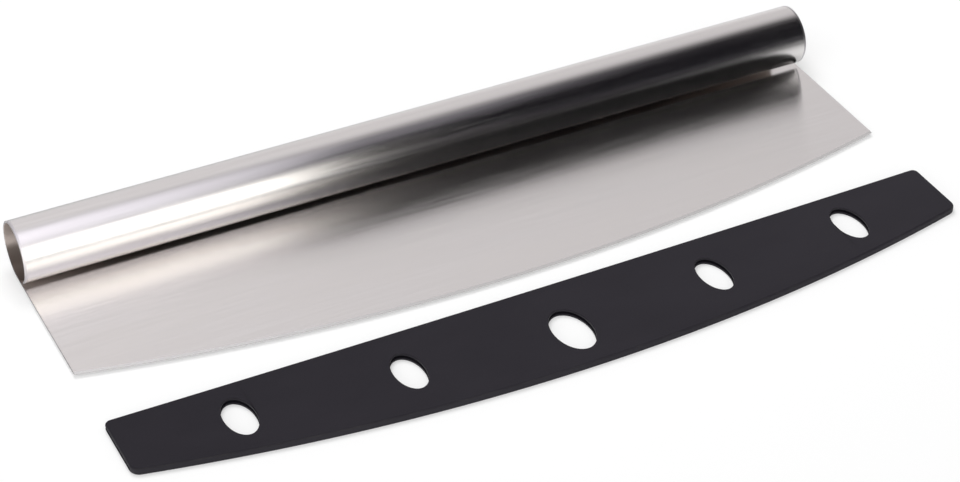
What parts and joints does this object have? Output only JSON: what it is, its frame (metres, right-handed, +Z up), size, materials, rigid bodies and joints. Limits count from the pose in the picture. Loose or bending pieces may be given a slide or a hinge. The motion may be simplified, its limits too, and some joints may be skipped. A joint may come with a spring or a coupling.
{
  "type": "rocking pizza knife",
  "caption": "Rocking pizza knife: one steel sheet with a bowed cutting edge, its back rolled into an open tube handle, and a flat black sheath with oval windows that slides onto the blade.",
  "frame": {"origin": "on the table, in the middle of the box round the knife and the guard that lies in front of it", "axes": "+X along the handle, +Y from the cutting edge to the handle, +Z up"},
  "size_m": [0.355, 0.1592, 0.0266],
  "materials": {
    "satin_steel": "satin stainless sheet with a fine grain along the handle",
    "black_plastic": "finely textured matte charcoal-black moulding"
  },
  "bodies": {
    "knife": {"sheet_knife": "satin_steel"},
    "guard": {"edge_guard": "black_plastic"}
  },
  "joints": [
    {"name": "guard_slide", "type": "slide", "parent": "knife", "child": "guard", "axis": [0, 1, 0], "range_m": [0, 0.0577]}
  ]
}
